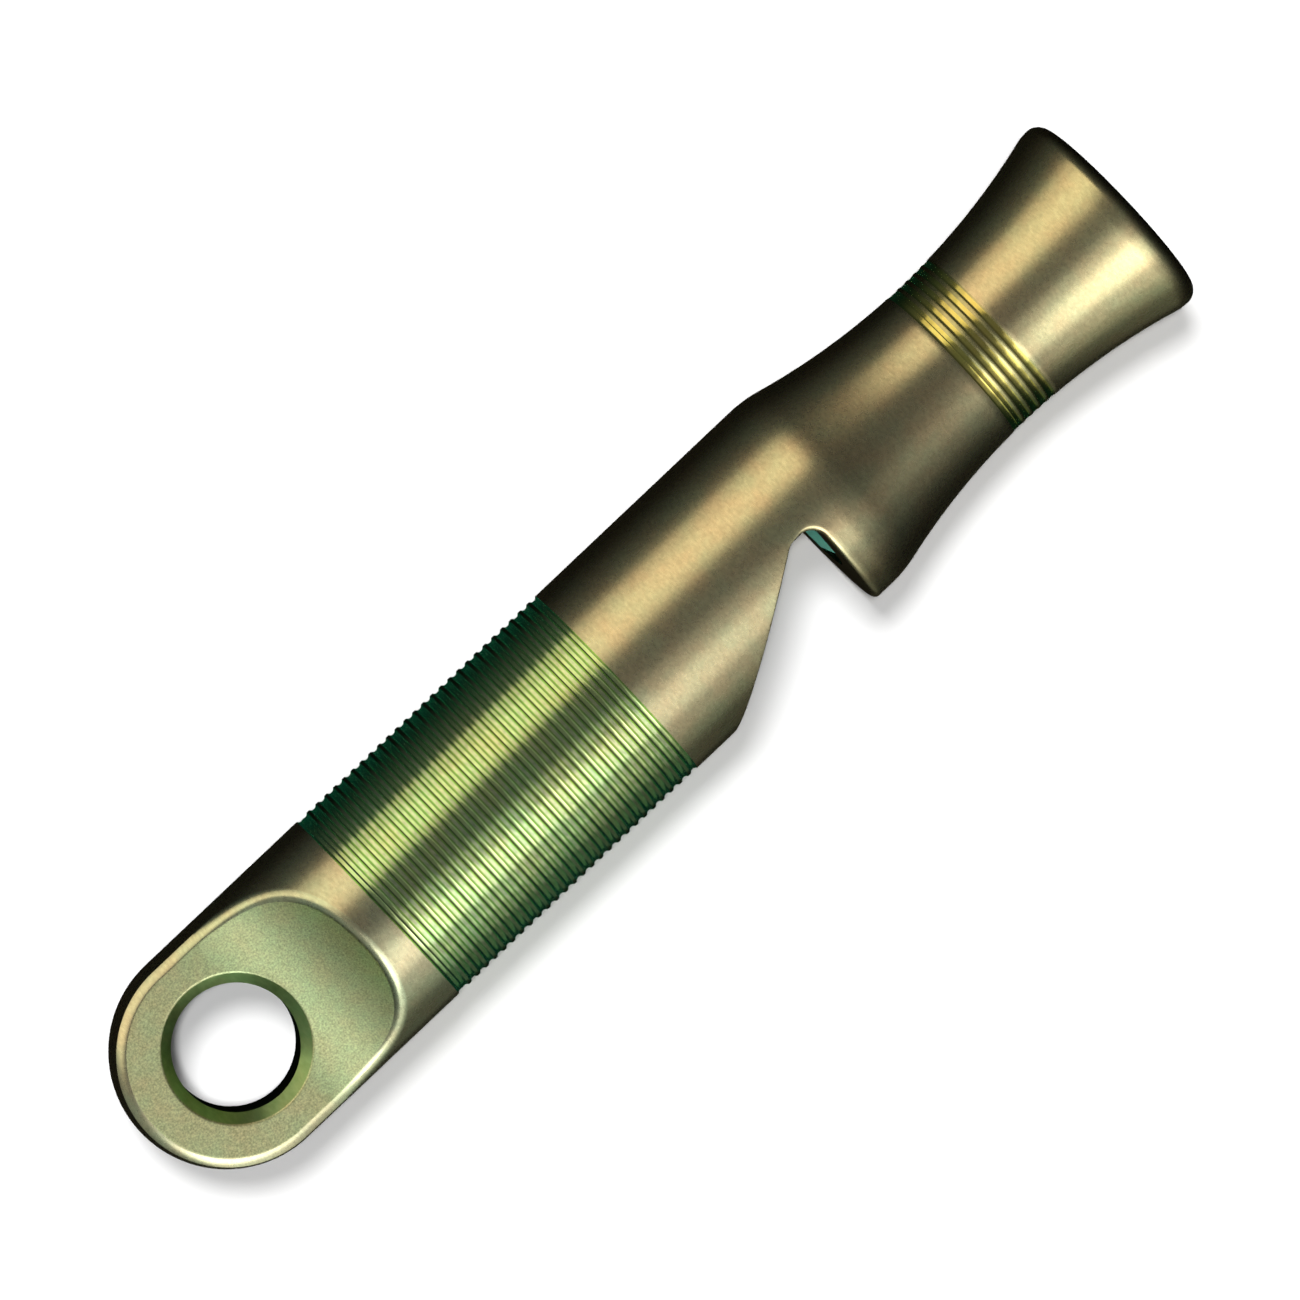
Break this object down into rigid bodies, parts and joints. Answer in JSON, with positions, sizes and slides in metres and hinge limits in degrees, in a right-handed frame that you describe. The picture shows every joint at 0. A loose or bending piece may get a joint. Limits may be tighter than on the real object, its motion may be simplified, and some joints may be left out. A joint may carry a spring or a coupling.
{
  "type": "whistle",
  "caption": "Pealess tube whistle with a flat lanyard tab, a finely grooved grip, a side window with a slanted ramp, and a waisted neck that flares to a rounded lip.",
  "frame": {"origin": "centre of the lanyard hole, on the whistle's long axis and midway between the tab's flats", "axes": "+X along the whistle to its mouth, +Z along the lanyard hole out of a tab flat, the window opens towards -Y"},
  "size_m": [0.0571, 0.01, 0.01],
  "materials": {
    "bronze_anodised": "satin anodised titanium",
    "green_anodised": "satin anodised titanium",
    "teal_anodised": "anodised titanium"
  },
  "bodies": {
    "root": {"lanyard_tail": "bronze_anodised", "barrel": "green_anodised", "mouthpiece": "bronze_anodised", "windway_plug": "teal_anodised"}
  },
  "joints": []
}
